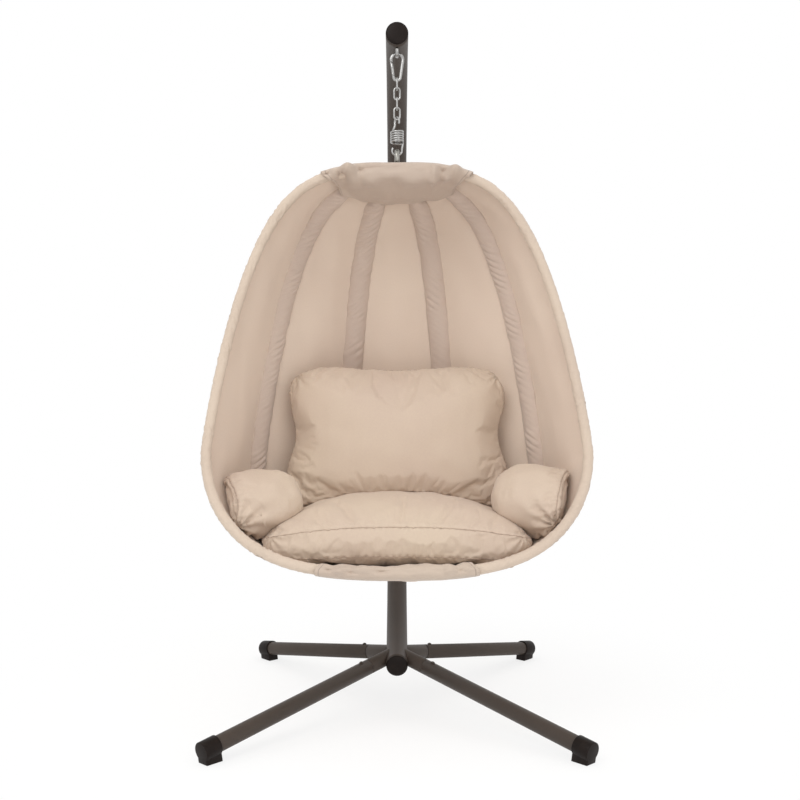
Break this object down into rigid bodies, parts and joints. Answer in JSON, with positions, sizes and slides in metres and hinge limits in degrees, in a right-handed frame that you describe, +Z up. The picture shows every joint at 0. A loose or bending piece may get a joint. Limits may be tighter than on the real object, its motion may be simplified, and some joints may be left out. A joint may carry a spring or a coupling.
{
  "type": "hanging chair",
  "caption": "Egg-shaped fabric hanging chair with loose cushions, hung by a snap hook, chain and spring from a crescent tube stand on splayed legs.",
  "frame": {"origin": "on the floor, at the middle of the bounding box's base", "axes": "+Z up, -Y towards the open front of the pod, +X to the right as seen from the front"},
  "size_m": [0.8746, 1.07, 1.6759],
  "materials": {
    "powder_coat": "dark taupe-grey powder coat on steel tube",
    "black_plastic": "matte brown-black moulded plastic",
    "zinc": "bright zinc plate",
    "steel": "dull zinc plate",
    "canvas": "beige woven polyester",
    "strip_canvas": "beige woven polyester, slightly greyer",
    "cushion_canvas": "warm beige woven polyester"
  },
  "bodies": {
    "stand": {"upper_post": "powder_coat", "lower_post": "powder_coat", "post_bolt": "powder_coat", "top_cap": "black_plastic", "bottom_cap": "black_plastic", "hanger_eye": "zinc", "leg_stub_front_left": "powder_coat", "leg_front_left": "powder_coat", "leg_bolt_front_left": "powder_coat", "foot_front_left": "black_plastic", "leg_stub_front_right": "powder_coat", "leg_front_right": "powder_coat", "leg_bolt_front_right": "powder_coat", "foot_front_right": "black_plastic", "leg_stub_rear_left": "powder_coat", "leg_rear_left": "powder_coat", "leg_bolt_rear_left": "powder_coat", "foot_rear_left": "black_plastic", "leg_stub_rear_right": "powder_coat", "leg_rear_right": "powder_coat", "leg_bolt_rear_right": "powder_coat", "foot_rear_right": "black_plastic"},
    "snap_hook": {"snap_hook": "zinc", "gate_pin": "zinc"},
    "snap_gate": {"snap_gate": "zinc"},
    "link_1": {"chain_link_1": "zinc"},
    "link_2": {"chain_link_2": "zinc"},
    "link_3": {"chain_link_3": "zinc"},
    "link_4": {"chain_link_4": "zinc"},
    "spring": {"spring": "zinc"},
    "chair": {"eye_bolt": "steel", "eye_washer": "zinc", "eye_nut": "zinc", "top_hub": "steel", "bottom_hub": "steel", "rim_pole_right": "powder_coat", "rib_pole_1": "powder_coat", "rib_pole_2": "powder_coat", "rib_pole_3": "powder_coat", "rib_pole_4": "powder_coat", "rim_pole_left": "powder_coat", "cover_panel_right": "canvas", "cover_panel_back_right": "canvas", "cover_panel_back": "canvas", "cover_panel_back_left": "canvas", "cover_panel_left": "canvas", "rib_strip_1": "strip_canvas", "rib_strip_2": "strip_canvas", "rib_strip_3": "strip_canvas", "rib_strip_4": "strip_canvas", "rim_sleeve_right": "canvas", "rim_sleeve_left": "canvas", "top_flap": "canvas", "bottom_flap": "canvas", "seat_cushion": "cushion_canvas", "back_cushion": "cushion_canvas", "arm_cushion_left": "cushion_canvas", "arm_cushion_right": "cushion_canvas"}
  },
  "joints": [
    {"name": "hook_sideways_swing", "type": "hinge", "parent": "stand", "child": "snap_hook", "pos_m": [0, -0.21475, 1.60351], "axis": [0, 1, 0], "range_deg": [-12, 12]},
    {"name": "gate_opening", "type": "hinge", "parent": "snap_hook", "child": "snap_gate", "pos_m": [-0.00907, -0.21475, 1.56023], "axis": [0, 1, 0], "range_deg": [0, 25], "stiffness_Nm_per_rad": 0.02, "springref_deg": -11.46},
    {"name": "link_1_swing", "type": "hinge", "parent": "snap_hook", "child": "link_1", "pos_m": [0, -0.21475, 1.54706], "axis": [1, 0, 0], "range_deg": [-10, 6]},
    {"name": "link_2_swing", "type": "hinge", "parent": "link_1", "child": "link_2", "pos_m": [0, -0.21475, 1.52441], "axis": [0, 1, 0], "range_deg": [-12, 12]},
    {"name": "link_3_swing", "type": "hinge", "parent": "link_2", "child": "link_3", "pos_m": [0, -0.21475, 1.50061], "axis": [1, 0, 0], "range_deg": [-10, 6]},
    {"name": "link_4_twist", "type": "hinge", "parent": "link_3", "child": "link_4", "pos_m": [0, -0.21475, 1.47681], "axis": [0, 0, 1], "range_deg": [-24, 24]},
    {"name": "spring_swing", "type": "hinge", "parent": "link_4", "child": "spring", "pos_m": [0, -0.21475, 1.45301], "axis": [1, 0, 0], "range_deg": [-10, 6]},
    {"name": "chair_bounce", "type": "slide", "parent": "spring", "child": "chair", "axis": [0, 0, 1], "range_m": [-0.05, 0], "stiffness_N_per_m": 18000, "springref_m": 0.0167, "deforming": ["spring"]}
  ]
}
